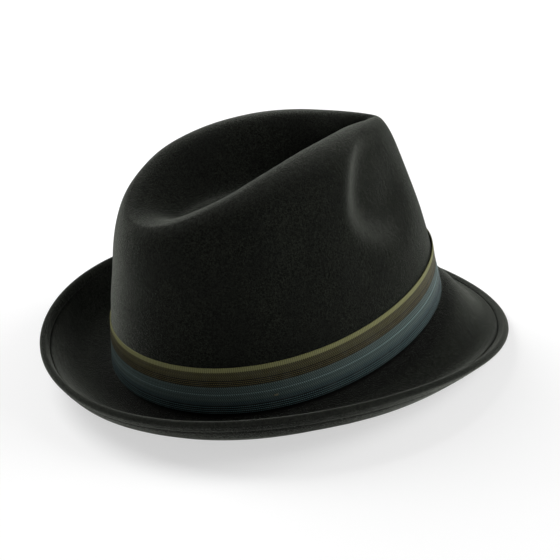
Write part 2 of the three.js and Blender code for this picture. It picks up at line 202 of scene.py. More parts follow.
def wall_point(t, rise):
    foot = break_point(t) + vec(0, 0, BREAK_FILLET)
    crest = crest_point(t)
    power = 2 / blend(WALL_FULLNESS, t)
    straight = blend(WALL_STRAIGHTNESS, t)
    sine = np.minimum(1, rise ** (1 / power))
    inward = straight * rise + (1 - straight) * (1 - np.sqrt(1 - sine * sine) ** power)
    return hand_blocked(pinched(vec(
        lerp(foot[..., 0], crest[..., 0], inward),
        lerp(foot[..., 1], crest[..., 1], inward),
        lerp(foot[..., 2], crest[..., 2], rise),
    )))


def dent_point(t, share):
    crest = crest_point(t)
    crease_y = (CREASE.front + CREASE.back) / 2 - (CREASE.back - CREASE.front) / 2 * np.cos(t)
    inward = np.minimum(1, share / blend(DENT_REACH, t)) ** blend(DENT_ROUNDING, t)
    fall = (1 - np.cos(np.pi * inward)) / 2
    return hand_blocked(pinched(vec(
        crest[..., 0] * (1 - share),
        lerp(crest[..., 1], crease_y, share),
        lerp(crest[..., 2], blend(DENT_FLOOR, t), fall),
    )))


def brim_handles(t):
    """The four control points of the brim's upper face at t, from the break to the edge."""
    c = np.cos(t)
    edge = vec(
        EDGE.half_width * np.sin(t) * (1 - EDGE.egg * c),
        EDGE.centre_y - EDGE.half_length * c,
        EDGE_HEIGHT.mean + EDGE_HEIGHT.tilt * c + EDGE_HEIGHT.arch * np.cos(2 * t),
    )
    root = break_point(t)
    outward = (edge - root) * [1, 1, 0]
    reach = np.linalg.norm(outward, axis=-1, keepdims=True) * BRIM_HANDLE
    outward = unit(outward)

    def along(slopes):
        slope = np.radians(blend(slopes, t))[..., None]
        return outward * np.cos(slope) + np.array([0, 0, 1]) * np.sin(slope)

    leave, arrive = along(BREAK_SLOPE), along(EDGE_SLOPE)
    return root + leave * BREAK_FILLET, root + leave * reach, edge - arrive * reach, edge


def brim_point(t, share):
    a, b, c, d = brim_handles(t)
    v = np.asarray(share, float)[..., None]
    return a * (1 - v) ** 3 + 3 * b * v * (1 - v) ** 2 + 3 * c * v * v * (1 - v) + d * v ** 3


def fillet_point(t, share):
    v = np.asarray(share, float)[..., None]
    ends = brim_point(t, np.zeros(1)), wall_point(t, np.zeros(1))
    return ends[0] * (1 - v) ** 2 + break_point(t) * 2 * v * (1 - v) + ends[1] * v * v


def normal_of(surface, t, v, step=0.004):
    """The outward normal. Shares of the brim run outward and the others inward, so its normal is turned."""
    high_end = 0.985 if surface is dent_point else 1
    v = np.minimum(v, high_end)
    across_t = surface(t + step, v) - surface(t - step, v)
    across_v = surface(t, np.minimum(v + step, 1)) - surface(t, np.maximum(v - step, 0))
    return unit(np.cross(across_t, across_v)) * (-1 if surface is brim_point else 1)


def on_wall(t, height, lift):
    """A point at a height in mm above the break, lifted off the felt's outer face."""
    t, height, lift = np.broadcast_arrays(t, height, lift)
    low, high = break_point(t)[..., 2], crest_point(t)[..., 2]
    rise = np.clip((height - BREAK_FILLET) / (high - low - BREAK_FILLET), 0, 0.98)
    point = wall_point(t, rise)
    point[..., 2] = low + height
    return point + normal_of(wall_point, t, rise) * lift[..., None]


def around(count):
    return np.arange(count) * TURN / count


def distances(line):
    """How far along a line each of its points is."""
    return np.concatenate([[0], np.cumsum(np.linalg.norm(np.diff(line, axis=0), axis=1))])


def read_line(run, lengths, line):
    """The two coordinates of a line at a distance along it."""
    return [np.interp(run, lengths, line[:, k]) for k in (0, 1)]


# ---------------------------------------------------------------- mesh tools
def make_mesh(name, vertices, faces, strip, values=None, sharp=50):
    """A mesh piece from points in mm. strip holds a u, v for each face corner, and values one number for
    each vertex under each name. Edges that turn by more than sharp degrees stay sharp."""
    mesh = bpy.data.meshes.new(name)
    mesh.from_pydata(to_row(vertices).tolist(), [], faces)
    layer = mesh.uv_layers.new(name="strip")
    layer.data.foreach_set("uv", np.asarray(strip, np.float32).ravel())
    for label, numbers in (values or {}).items():
        layer = mesh.attributes.new(label, "FLOAT", "POINT")
        layer.data.foreach_set("value", np.asarray(numbers, np.float32).ravel())
    made = bmesh.new()
    made.from_mesh(mesh)
    bmesh.ops.remove_doubles(made, verts=made.verts, dist=1e-7)
    bmesh.ops.dissolve_degenerate(made, edges=made.edges, dist=1e-8)
    bmesh.ops.recalc_face_normals(made, faces=made.faces)
    made.to_mesh(mesh)
    made.free()
    mesh.polygons.foreach_set("use_smooth", np.ones(len(mesh.polygons), bool))
    mesh.set_sharp_from_angle(angle=math.radians(sharp))
    piece = bpy.data.objects.new(name, mesh)
    bpy.context.scene.collection.objects.link(piece)
    return piece


def loft(name, rows, ring, skip=-1, u=None, v=None, values=None, sharp=50):
    """A closed piece from rows of points in mm. Each row is a closed outline whose second half runs back
    along its first. The rows meet in a ring, or both ends are capped between the two halves. No face is
    made after the outline's column skip. u is one number a row, and one more for a ring, v one a column."""
    count, width = rows.shape[:2]
    i = np.arange(count if ring else count - 1)[:, None]
    j = np.array([k for k in range(width) if k != skip])[None, :]
    corners = [(i, j), (i, j + 1), (i + 1, j + 1), (i + 1, j)]
    faces = np.stack([(a % count) * width + b % width + 0 * (i + j) for a, b in corners], -1).reshape(-1, 4)
    u = np.arange(count + 1, dtype=float) if u is None else np.asarray(u, float)
    v = np.linspace(0, 1, width) if v is None else np.asarray(v, float)
    strip = np.stack([np.stack(np.broadcast_arrays(u[a], v[b % width]), -1) for a, b in corners], -2)
    strip = strip.reshape(-1, 2)
    if not ring:
        k = np.arange(width // 2 - 1)
        cap = np.stack([k, k + 1, width - 2 - k, width - 1 - k], -1)
        cap = np.concatenate([cap, (cap + (count - 1) * width)[:, ::-1]])
        faces = np.concatenate([faces, cap])
        ends = [np.stack([u[c // width], v[c % width]], -1) for c in cap.ravel()]
        strip = np.concatenate([strip, np.array(ends)])
    return make_mesh(name, rows.reshape(-1, 3), faces.tolist(), strip, values, sharp)


def tubes(name, centres, radius, sides=8, ring=False):
    """Round threads. centres is (threads, stations, 3) in mm, radius a number for each station."""
    threads, stations = centres.shape[:2]
    if ring:
        along = unit(np.roll(centres, -1, 1) - np.roll(centres, 1, 1))
    else:
        along = unit(np.gradient(centres, axis=1))
    first = unit(np.cross(along, [0.03, 0.05, 1.0]))
    second = np.cross(along, first)
    angle = around(sides)[:, None]
    radius = np.broadcast_to(radius, (stations,))[None, :, None, None]
    circle = first[:, :, None] * np.cos(angle) + second[:, :, None] * np.sin(angle)
    points = centres[:, :, None] + circle * radius
    thread = np.arange(threads)[:, None, None]
    station = np.arange(stations if ring else stations - 1)[None, :, None]
    side = np.arange(sides)[None, None, :]

    def at(a, b):
        return (thread * stations + a % stations) * sides + b % sides

    corners = [(station, side), (station, side + 1), (station + 1, side + 1), (station + 1, side)]
    faces = np.stack([at(a, b) for a, b in corners], -1).reshape(-1, 4).tolist()
    strip = np.stack([np.stack(np.broadcast_arrays(a + 0 * thread, b / sides), -1) for a, b in corners], -2)
    strip = strip.reshape(-1, 2).tolist()
    if not ring:
        for k in range(threads):
            for end in (0, stations - 1):
                faces.append([int(at(end, b)[k, 0, 0]) for b in range(sides)])
                strip.extend([[end, b / sides] for b in range(sides)])
    return make_mesh(name, points.reshape(-1, 3), faces, strip)


def dress(piece, material, slot, *nodes):
    """The piece takes its material, rides on the hat, and stands for its CAD nodes."""
    piece.data.materials.append(material)
    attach(piece, "root")
    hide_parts(*nodes)
    return piece


# ---------------------------------------------------------------- material tools
def node(material, kind, inputs=None, **settings):
    made = material.node_tree.nodes.new("ShaderNode" + kind)
    for name, value in settings.items():
        setattr(made, name, value)
    for key, value in (inputs or {}).items():
        if isinstance(value, bpy.types.NodeSocket):
            material.node_tree.links.new(value, made.inputs[key])
        else:
            made.inputs[key].default_value = value
    return made


def noise(material, scale, detail=4.0, roughness=0.6, distortion=0.0, vector=None):
    """Noise from about 0 to 1 in the row frame; scale is in features to a metre."""
    where = vector or node(material, "TexCoord").outputs["Object"]
    inputs = {"Vector": where, "Scale": scale, "Detail": detail, "Roughness": roughness,
              "Distortion": distortion}
    return node(material, "TexNoise", inputs).outputs["Fac"]


def curve(material, value, low, high, to_low=0.0, to_high=1.0):
    inputs = {"Value": value, "From Min": low, "From Max": high, "To Min": to_low, "To Max": to_high}
    return node(material, "MapRange", inputs, interpolation_type="SMOOTHSTEP").outputs["Result"]


def maths(material, operation, first, second=0.0):
    return node(material, "Math", {0: first, 1: second}, operation=operation).outputs[0]


def times(material, first, second):
    return maths(material, "MULTIPLY", first, second)


def mix(material, share, first, second):
    """Colours mixed by share. A colour is a socket or (r, g, b)."""
    full = [c if isinstance(c, bpy.types.NodeSocket) else (*c, 1) for c in (first, second)]
    return node(material, "Mix", {0: share, 6: full[0], 7: full[1]}, data_type="RGBA").outputs[2]


def attribute(material, name):
    return node(material, "Attribute", attribute_name=name).outputs["Fac"]


def strip_axes(material):
    """u along a strip in mm and v across it from 0 to 1."""
    place = node(material, "UVMap", uv_map="strip").outputs["UV"]
    parts = node(material, "SeparateXYZ", {0: place})
    return parts.outputs["X"], parts.outputs["Y"]


def new_material(name, roughness, **constants):
    """A material and its shader. Constants such as Sheen_Weight go on the shader's own sockets."""
    material = bpy.data.materials.new(name)
    material.use_nodes = True
    shader = material.node_tree.nodes["Principled BSDF"]
    shader.inputs["Roughness"].default_value = roughness
    for label, value in constants.items():
        shader.inputs[label.replace("_", " ")].default_value = value
    return material, shader


def paint(material, shader, colour, height, depth, roughness=None):
    """Links colour, a bump whose full height is depth in mm, and roughness where it varies."""
    links = material.node_tree.links
    links.new(colour, shader.inputs["Base Color"])
    bump = node(material, "Bump", {"Height": height, "Distance": depth / METRE})
    links.new(bump.outputs["Normal"], shader.inputs["Normal"])
    if roughness:
        links.new(roughness, shader.inputs["Roughness"])
    return material


# ---------------------------------------------------------------- materials
def felt_material():
    """Dark charcoal wool felt: matted fibres, cloudy dye and a short nap; lighter with wear and painted
    highlight along the crest and the brim's edge, lighter with painted highlight along the rim of the
    pinches, and darker with painted shade in the bend at the break and on the inner face.
    """
    material, shader = new_material("wool_felt", 0.95, Sheen_Weight=0.40, Sheen_Roughness=0.32,
                                    Sheen_Tint=(0.9, 0.95, 0.84, 1), Specular_IOR_Level=0.04)
    fibres = noise(material, 1000, detail=4, roughness=0.7, distortion=1.2)
    matting = noise(material, 420, detail=5, roughness=0.7, distortion=0.8)
    clouds = noise(material, 55, detail=4, roughness=0.55)
    dark, light, cloudy = (0.0026, 0.0030, 0.0023), (0.0172, 0.0194, 0.0148), (0.006, 0.0066, 0.0058)
    # The lighter colour is for wear and painted highlight, the near-black one for painted shade.
    paler, shade_colour = (0.035, 0.037, 0.032), (0.0008, 0.0009, 0.0007)
    colour = mix(material, curve(material, fibres, 0.41, 0.62), dark, light)
    colour = mix(material, curve(material, clouds, 0.3, 0.7, 0.0, 0.5), colour, cloudy)
    patchy = curve(material, matting, 0.35, 0.65, 0.3)
    # Wear and painted highlight: the lighter colour along the crest, the brim's edge, its lip and the rim
    # of the pinches.
    worn_and_highlit = times(material, attribute(material, "worn_and_highlit"), patchy)
    colour = mix(material, worn_and_highlit, colour, paler)
    # Painted shade: near black in the bend at the break and on the inner face.
    colour = mix(material, attribute(material, "painted_shade"), colour, shade_colour)
    height = maths(material, "ADD", fibres, times(material, matting, 0.75))
    roughness = curve(material, fibres, 0.2, 0.8, 1.0, 0.85)
    return paint(material, shader, colour, height, depth=0.34, roughness=roughness)


def thread_material(name, colour, light):
    """Twisted thread: fine ridges that run round it on a slant."""
    material, shader = new_material(name, 0.8, Specular_IOR_Level=0.12)
    u, v = strip_axes(material)
    twist = maths(material, "ADD", times(material, u, 0.9), times(material, v, 2.0))
    ridge = maths(material, "SINE", times(material, twist, TURN))
    dirt = noise(material, 2200, detail=3)
    painted = mix(material, curve(material, ridge, -1, 1), colour, light)
    painted = mix(material, curve(material, dirt, 0.35, 0.75, 0, 0.5), painted, colour)
    return paint(material, shader, painted, ridge, depth=0.05)


# Stripes of the ribbon, from its top edge: (where each starts, as a share of its width, colour).
OLIVE = (0.235, 0.235, 0.10)
BROWN = (0.10, 0.088, 0.034)
TAN = (0.17, 0.14, 0.05)
RUST = (0.004, 0.0025, 0.0015)
BLUE = (0.105, 0.155, 0.148)
LIGHT_BLUE = (0.26, 0.38, 0.37)
TEAL = (0.06, 0.10, 0.108)
DEEP_BLUE = (0.12, 0.225, 0.235)
INK = (0.001, 0.002, 0.003)


def fine_lines(start, pitch, count, line, ground, share):
    """Stripe stops for count thin lines, each line then ground."""
    stops = []
    for k in range(count):
        stops.append((start + k * pitch, line))
        stops.append((start + (k + share) * pitch, ground))
    return stops


STRIPES = [
    (0.0, OLIVE),
    (0.095, BROWN),
    *fine_lines(0.272, 0.039, 4, RUST, TAN, share=0.58),
    (0.415, BLUE),
    (0.572, LIGHT_BLUE),
    (0.590, BLUE),
    (0.74, TEAL),
    *fine_lines(0.825, 0.045, 4, INK, DEEP_BLUE, share=0.66),
]


def ribbon_material():
    """Ribbed ribbon with lengthwise stripes, fine warp threads, shaded grooves between the ribs, and a
    slanting twill below its top stripe."""
    material, shader = new_material("striped_ribbon", 0.6, Sheen_Weight=0.02, Sheen_Roughness=0.3,
                                    Specular_IOR_Level=0.15)
    u, v = strip_axes(material)
    down = maths(material, "SUBTRACT", 1.0, v)
    wander = times(material, maths(material, "SUBTRACT", noise(material, 900, 2), 0.5), 0.004)
    ramp = node(material, "ValToRGB", {"Fac": maths(material, "ADD", down, wander)})
    ramp.color_ramp.interpolation = "CONSTANT"
    stops = ramp.color_ramp.elements
    while len(stops) < len(STRIPES):
        stops.new(0.5)
    for stop, (start, colour) in zip(stops, STRIPES):
        stop.position = start
        stop.color = (*colour, 1)
    rib = maths(material, "COSINE", times(material, u, TURN / RIB.pitch))
    warp = maths(material, "SINE", times(material, v, TURN * RIB.warp_threads))
    threads = curve(material, warp, -1, 0.2, 0.55, 1.0)
    weave = times(material, curve(material, rib, -1, 0.4), threads)
    slant = times(material, v, RIB.twill_slant)
    diagonal = maths(material, "ADD", maths(material, "DIVIDE", u, RIB.pitch), slant)
    twill = maths(material, "SINE", times(material, diagonal, TURN))
    paler = noise(material, 160, detail=4)
    grooves = curve(material, weave, 0, 1, 0.45, 0.0)
    colour = mix(material, grooves, ramp.outputs["Color"], (0.003, 0.004, 0.004))
    below_olive = curve(material, down, 0.08, 0.11, 0.0, 0.8)
    shaded = times(material, curve(material, twill, -0.6, 0.8), below_olive)
    colour = mix(material, shaded, colour, (0.008, 0.009, 0.008))
    colour = mix(material, curve(material, paler, 0.35, 0.8, 0.0, 0.14), colour, (0.12, 0.13, 0.12))
    roughness = curve(material, weave, 0, 1, 0.72, 0.46)
    return paint(material, shader, colour, weave, depth=0.07, roughness=roughness)


def leather_material():
    """Smooth dark brown leather: fine pebble grain, soft creases and a slightly darker lower edge."""
    material, shader = new_material("sweatband_leather", 0.45, Specular_IOR_Level=0.45)
    where = node(material, "TexCoord").outputs["Object"]
    pebbles = node(material, "TexVoronoi", {"Vector": where, "Scale": 1100}, feature="DISTANCE_TO_EDGE")
    grain = curve(material, pebbles.outputs["Distance"], 0, 0.12)
    creases = noise(material, 130, detail=6, roughness=0.6, distortion=1.2)
    tone = noise(material, 28, detail=3)
    colour = mix(material, curve(material, tone, 0.3, 0.7), (0.075, 0.036, 0.018), (0.115, 0.06, 0.032))
    colour = mix(material, maths(material, "SUBTRACT", 1.0, grain), colour, (0.03, 0.014, 0.008))
    _, v = strip_axes(material)
    colour = mix(material, curve(material, v, 0.14, 0.0, 0.0, 0.6), colour, (0.028, 0.014, 0.009))
    height = maths(material, "ADD", grain, times(material, creases, 2.2))
    roughness = curve(material, creases, 0.3, 0.7, 0.38, 0.6)
    return paint(material, shader, colour, height, depth=0.09, roughness=roughness)


WEFT_THREADS = 60


def woven_material(name, base, light, pitch, roughness, sheen, depth):
    """Plain cloth of crossed threads, with a pitch in mm along u and WEFT_THREADS from edge to edge."""
    material, shader = new_material(name, roughness, Sheen_Weight=sheen, Sheen_Roughness=0.3)
    u, v = strip_axes(material)
    first = maths(material, "SINE", times(material, u, TURN / pitch))
    second = maths(material, "SINE", times(material, v, TURN * WEFT_THREADS))
    weave = curve(material, times(material, first, second), -1, 1)
    slub = noise(material, 240, detail=5, roughness=0.65)
    colour = mix(material, weave, base, light)
    colour = mix(material, curve(material, slub, 0.3, 0.75, 0.0, 0.5), colour, base)
    uneven = curve(material, slub, 0.3, 0.7, roughness + 0.12, roughness - 0.06)
    return paint(material, shader, colour, weave, depth, roughness=uneven)


def reed_material():
    """Drawn plastic cord, slightly yellowed, with fine lengthwise drawing marks."""
    material, shader = new_material("reed_plastic", 0.4)
    u, v = strip_axes(material)
    drawn_out = {0: times(material, u, 0.02), 1: times(material, v, 9)}
    where = node(material, "CombineXYZ", drawn_out).outputs[0]
    marks = noise(material, 3.0, detail=3, vector=where)
    colour = mix(material, marks, (0.5, 0.46, 0.36), (0.68, 0.65, 0.56))
    roughness = curve(material, marks, 0.3, 0.7, 0.32, 0.5)
    return paint(material, shader, colour, marks, depth=0.03, roughness=roughness)


# ---------------------------------------------------------------- felt
def stitch_pull(t, share):
    """How far the row of stitches pulls the upper face in, in mm: most at each needle hole."""
    across = smoothstep(1 - np.abs(share - STITCH_LINE) / GROOVE.half_share, 0, 1)
    return GROOVE.depth * across * (0.62 + 0.38 * np.cos(t * STITCHES))


def brim_thickness(t, share):
    """Plain felt, then double where the edge is folded under. The cut edge is a step that wavers."""
    step = FOLD_END - 0.012 * (1 + ripple(vec(100 * np.cos(t), 100 * np.sin(t), 0), 60, 5) / 2)
    return lerp(FELT, FOLDED_EDGE, smoothstep(share, step - 0.014, step + 0.006))


def lip_points(t, count=7):
    """The rounded folded edge, from the under face round to the upper one."""
    share = np.ones((1, 1))
    normal = normal_of(brim_point, t, share)
    along = unit(brim_point(t, share) - brim_point(t, share - 0.01))
    middle = brim_point(t, share) - normal * FOLDED_EDGE / 2
    angle = np.radians(np.linspace(-90, 90, count + 2)[1:-1])[None, :, None]
    return middle + (along * np.cos(angle) + normal * np.sin(angle)) * FOLDED_EDGE / 2


def felt_piece():
    t = around(ROUND_STEPS)[:, None]
    plain = np.linspace(0, FOLD_END - 0.045, 20)
    step = np.linspace(FOLD_END - 0.03, FOLD_END + 0.015, 8)
    groove = np.linspace(-1, 1, 9) * GROOVE.half_share + STITCH_LINE
    brim = np.concatenate([plain, step, [0.84, 0.87], groove, [0.965, 0.98, 0.99, 1]])
    walls = np.sin(np.linspace(0, 1, 47) ** 0.92 * math.pi / 2)[:-1] ** 1.15
    outer, inner, worn_and_highlit, painted_shade = [], [], [], []
    for surface, shares in (
        (brim_point, brim[::-1]),
        (fillet_point, np.array([0.25, 0.5, 0.75])),
        (wall_point, walls),
        (dent_point, np.linspace(0, 1, 30)),
    ):
        v = shares[None, :]
        point = surface(t, v)
        normal = normal_of(surface, t, v)
        flat = np.zeros(point.shape[:2])
        pull, thickness, wear_and_highlight = flat, flat + FELT, flat
        # Painted shade: darker felt in the fillet at the break.
        shade_amount = flat + (PAINTED_SHADE.bend if surface is fillet_point else 0)
        if surface is brim_point:
            pull, thickness = stitch_pull(t, v), brim_thickness(t, v)
            # Wear and painted highlight at the brim's edge.
            wear_and_highlight = WEAR_AND_HIGHLIGHT.brim_edge * smoothstep(v, WEAR_AND_HIGHLIGHT.brim_from, 1) + flat
            # Painted shade in the bend of the brim, fading out across it.
            shade_amount = PAINTED_SHADE.bend * (1 - smoothstep(v, PAINTED_SHADE.starts, blend(PAINTED_SHADE_ENDS, t)))
        elif surface is wall_point:
            # A painted highlight along the rear rim of each pinch; wear and painted highlight at the crest.
            along, away = from_pinch(point)
            near_rim = np.exp(-(((away - PINCH_HIGHLIGHT.away) / PINCH_HIGHLIGHT.width) ** 2))
            rim = PINCH_HIGHLIGHT.pinch * near_rim * smoothstep(along, -0.5, 0.1)
            wear_and_highlight = np.maximum(WEAR_AND_HIGHLIGHT.crest * smoothstep(v, WEAR_AND_HIGHLIGHT.wall_from, 1), rim)
        elif surface is dent_point:
            # Wear and painted highlight along the crest.
            wear_and_highlight = WEAR_AND_HIGHLIGHT.crest * (1 - smoothstep(v, 0, WEAR_AND_HIGHLIGHT.dent_to)) + flat
            normal[:, -1, 0] = 0
            normal = unit(normal)
        outer.append(point - normal * pull[..., None])
        inner.append(point - normal * (thickness - UNDER_PULL * pull)[..., None])
        worn_and_highlit.append(wear_and_highlight)
        painted_shade.append(shade_amount)
    outer, inner = np.concatenate(outer, 1), np.concatenate(inner, 1)
    worn_and_highlit, painted_shade = np.concatenate(worn_and_highlit, 1), np.concatenate(painted_shade, 1)
    lip = lip_points(t)
    rows = np.concatenate([outer, inner[:, ::-1], lip], 1)
    on_inside, on_lip = np.ones(inner.shape[:2]), np.ones(lip.shape[:2])
    # Wear and painted highlight on the outer face and the lip; painted shade on the inner face.
    values = {
        "worn_and_highlit": np.concatenate([worn_and_highlit, 0 * on_inside, WEAR_AND_HIGHLIGHT.lip * on_lip], 1),
        "painted_shade": np.concatenate([painted_shade, PAINTED_SHADE.inside * on_inside, 0 * on_lip], 1),
    }
    return loft("felt_shell", rows, ring=True, skip=outer.shape[1] - 1, values=values, sharp=70)


def edge_stitches(name, side):
    """One stitch after another along the folded edge: each dives into its two needle holes."""
    stations = np.linspace(-0.5, 0.5, 9)
    t = around(STITCHES)[:, None] + (stations[None, :] + 0.5) * TURN / STITCHES
    share = np.full((1, 1), STITCH_LINE)
    normal = normal_of(brim_point, t, share)
    arch = np.cos(stations * math.pi) ** 0.5
    pull = GROOVE.depth * (1 if side > 0 else UNDER_PULL)
    depth = lerp(pull + 0.45, pull * 0.24 + 0.12, arch)
    if side < 0:
        depth = FOLDED_EDGE - depth
    centres = brim_point(t, share) - normal * depth[None, :, None]
    radius = STITCH_RADIUS * np.sqrt(1 - 0.5 * np.abs(stations))
    return tubes(name, centres, radius)


# ---------------------------------------------------------------- ribbon and bow
def band_table():
    """t against mm along the ribbon, at the middle of its height."""
    t = np.linspace(0, TURN, 2881)
    return t, distances(on_wall(t, BAND.bottom + BAND.height / 2, BAND.face))


BAND_TURNS, BAND_RUN = band_table()
BAND_LENGTH = BAND_RUN[-1]


def turn_at(run):
    """The angle t at a distance along the ribbon from the front, in mm."""
    return np.interp(run, BAND_RUN, BAND_TURNS)


KNOT_RUN = float(np.interp(math.radians(BOW.centre), BAND_TURNS, BAND_RUN))


def ribbon_rows(place, run, levels):
    """Rows for loft() of a ribbed ribbon; place(run, share, out) gives points of its middle layer."""
    rib = RIB.depth * np.cos(TURN * run[:, None] / RIB.pitch)
    half = BAND.thickness / 2
    selvedge = 0.06 * np.exp(-((np.minimum(levels, 1 - levels) / 0.02) ** 2))[None, :]
    front = place(run[:, None], levels[None, :], half + rib + selvedge)
    back = place(run[:, None], levels[None, :], -half + rib - selvedge)
    return np.concatenate([front, back[:, ::-1]], 1)


def ribbon_piece(name, place, run, ring=False):
    """A ribbon whose rows lie closer together at its selvedges."""
    levels = np.concatenate([[0, 0.02], np.linspace(0.07, 0.93, 13), [0.98, 1]])
    rows = ribbon_rows(place, run[:-1] if ring else run, levels)
    return loft(name, rows, ring, u=run, v=np.concatenate([levels, levels[::-1]]), sharp=60)


def band_place(run, share, out):
    """The ribbon hugs the felt, and its upper edge stands off it a little, most at the front."""
    t = turn_at(run)
    height = BAND.bottom + BAND.height * share
    proud = (0.05 + 0.75 * smoothstep(np.cos(t), 0.2, 1)) * smoothstep(share, 0.55, 1)
    lift = BAND.face - BAND.thickness / 2 + proud + out
    return on_wall(t, height, lift)


def band_piece():
    ribs = round(BAND_LENGTH / RIB.pitch)
    run = np.linspace(0, BAND_LENGTH, ribs * 4 + 1)
    return ribbon_piece("ribbon_band", band_place, run, ring=True)


def bow_place(along, share, lift, margin=0.4):
    height = BAND.bottom + margin + (BAND.height - 2 * margin) * share
    return on_wall(turn_at(KNOT_RUN + along), height, BAND.face + BOW.lift + lift)


def tail_piece():
    """The flat end under the loops, cut on a slant at the rear."""
    run = np.arange(BOW.tail_front, BOW.tail_rear + 0.01, RIB.pitch / 4)

    def place(run, share, out):
        slant = lerp(1.0, 0.91, share)
        lift = 0.25 + 1.3 * smoothstep(run, 40, BOW.tail_rear) * (0.35 + 0.65 * share)
        return bow_place(np.where(run > 0, run * slant, run), share, lift + out, margin=0.9)

    return ribbon_piece("bow_tail_ribbon", place, run)


def loop_centre_line(start, end):
    """[mm along the band, mm out] of a flat loop: out along the band, round its fold and back."""
    fold, base = 0.85, 1.2
    side = 1 if end > start else -1
    turn = end - side * fold
    back_share = np.linspace(1, 0, 60)
    low = np.stack([np.linspace(start, turn, 50), np.full(50, base)], -1)
    angle = np.radians(np.linspace(-80, 80, 13))
    round_end = np.stack([turn + side * fold * np.cos(angle), base + fold + fold * np.sin(angle)], -1)
    swell = 1.5 * np.sin(math.pi * back_share ** 1.4) - 0.35 * (1 - back_share)
    top = np.stack([lerp(start, turn, back_share), base + 2 * fold + swell], -1)
    return np.concatenate([low, round_end, top])


def loop_piece(name, start, end):
    line = loop_centre_line(start, end)
    lengths = distances(line)
    tangent = unit(np.gradient(line, lengths, axis=0))
    turned = 1 if end > start else -1
    run = np.arange(0, lengths[-1], RIB.pitch / 4)

    def place(run, share, out):
        along, lift = read_line(run, lengths, line)
        slope = read_line(run, lengths, tangent)
        soft = 0.25 * np.sin(share * math.pi * 2.2 + 0.4) * smoothstep(lift, 2.0, 3.6)
        return bow_place(along + turned * slope[1] * out, share, lift + soft - turned * slope[0] * out)

    return ribbon_piece(name, place, run), lengths[-1]


def knot_piece():
    """A short length of ribbon, folded lengthwise and wrapped round the middle of the bow."""
    top, bottom = BAND.bottom + BAND.height, BAND.bottom
    corners = np.array([
        [top + 0.9, -0.3], [top + 1.6, 2.2], [top + 1.2, 4.2], [top - 3, 5.0], [top - 9, 5.1],
        [bottom + 9, 5.1], [bottom + 3, 5.0], [bottom - 0.3, 4.0], [bottom - 0.7, 1.8], [bottom - 0.4, 0]])
    lengths = distances(corners)
    dense = np.linspace(0, lengths[-1], 200)
    line = np.stack(read_line(dense, lengths, corners), -1)
    for _ in range(30):
        line[1:-1] = (line[:-2] + 2 * line[1:-1] + line[2:]) / 4
    tangent = unit(np.gradient(line, dense, axis=0))
    run = np.arange(0, lengths[-1], RIB.pitch / 4)

    def place(run, share, out):
        height, lift = read_line(run, dense, line)
        slope = read_line(run, dense, tangent)
        middle = BAND.bottom + BAND.height / 2
        half = BOW.knot_half * (0.86 + 0.14 * smoothstep(np.abs(height - middle), 1, 13))
        pleats = 0.28 * np.cos(share * TURN * 1.5 + 0.3)
        along = half * (2 * share - 1)
        t = turn_at(KNOT_RUN + along)
        return on_wall(t, height + slope[1] * out, BAND.face + lift + pleats - slope[0] * out)

    return ribbon_piece("bow_knot_ribbon", place, run), lengths[-1]


def tack_piece(name, degrees):
    """Four turns of thread through the ribbon, side by side."""
    across = np.linspace(-TACK.half_width, TACK.half_width, 4)[:, None]
    along = np.linspace(-TACK.half_length, TACK.half_length, 11)[None, :]
    run = np.interp(math.radians(degrees), BAND_TURNS, BAND_RUN)
    arch = np.sqrt(1 - (along / (TACK.half_length + 0.05)) ** 2)
    t = turn_at((run + along + 0.12 * across) % BAND_LENGTH)
    height = BAND.bottom + TACK.height + across + 0.05 * along
    centres = on_wall(t, height, BAND.face - 0.2 + 0.5 * arch)
    return tubes(name, centres, TACK.thread)


# ---------------------------------------------------------------- inside the opening
def wall_sheet(name, profile, thickness, steps, wave=None):
    """A sheet round the inside. profile is [height, lift] of its outer face from bottom to top; wave(t,
    height) is added to the lift. Returns the piece, its length and its width."""
    t = around(steps)
    profile = np.asarray(profile, float)
    lengths = distances(profile)
    tangent = unit(np.gradient(profile, axis=0))
    normal = np.stack([-tangent[:, 1], tangent[:, 0]], -1)

    def face(offset):
        line = profile - normal * offset
        height, lift = line[:, 0][None, :], line[:, 1][None, :]
        shift = wave(t[:, None], height) if wave else 0
        return on_wall(t[:, None], height, lift + shift)

    rows = np.concatenate([face(0), face(thickness)[:, ::-1]], 1)
    middle = rows[:, len(profile) // 2]
    u = distances(np.concatenate([middle, middle[:1]]))
    v = lengths / lengths[-1]
    piece = loft(name, rows, True, u=u, v=np.concatenate([v, v[::-1]]), sharp=60)
    return piece, u[-1], lengths[-1]


def leather_lift(share):
    """The lift of the leather's outer face, which bows in between its lower edge and its free upper one."""
    return SWEATBAND.face - SWEATBAND.belly * np.sin(math.pi * share ** 1.3)


def sweatband_piece():
    share = np.linspace(0, 1, 22)
    height = lerp(SWEATBAND.bottom, SWEATBAND.top, share)
    rounded = np.array([0.22, 0.06] + [0] * 18 + [0.06, 0.22])

    def wave(t, height):
        free = smoothstep(height, 18, SWEATBAND.top)
        curl = 0.5 * np.sin(3 * t + 0.8) + 0.3 * np.sin(7 * t + 2.1) + 0.16 * np.sin(13 * t)
        return -0.55 * free * (1 + curl)

    profile = np.stack([height, leather_lift(share) - rounded], -1)
    return wall_sheet("leather_band", profile, SWEATBAND.thickness, 360, wave)


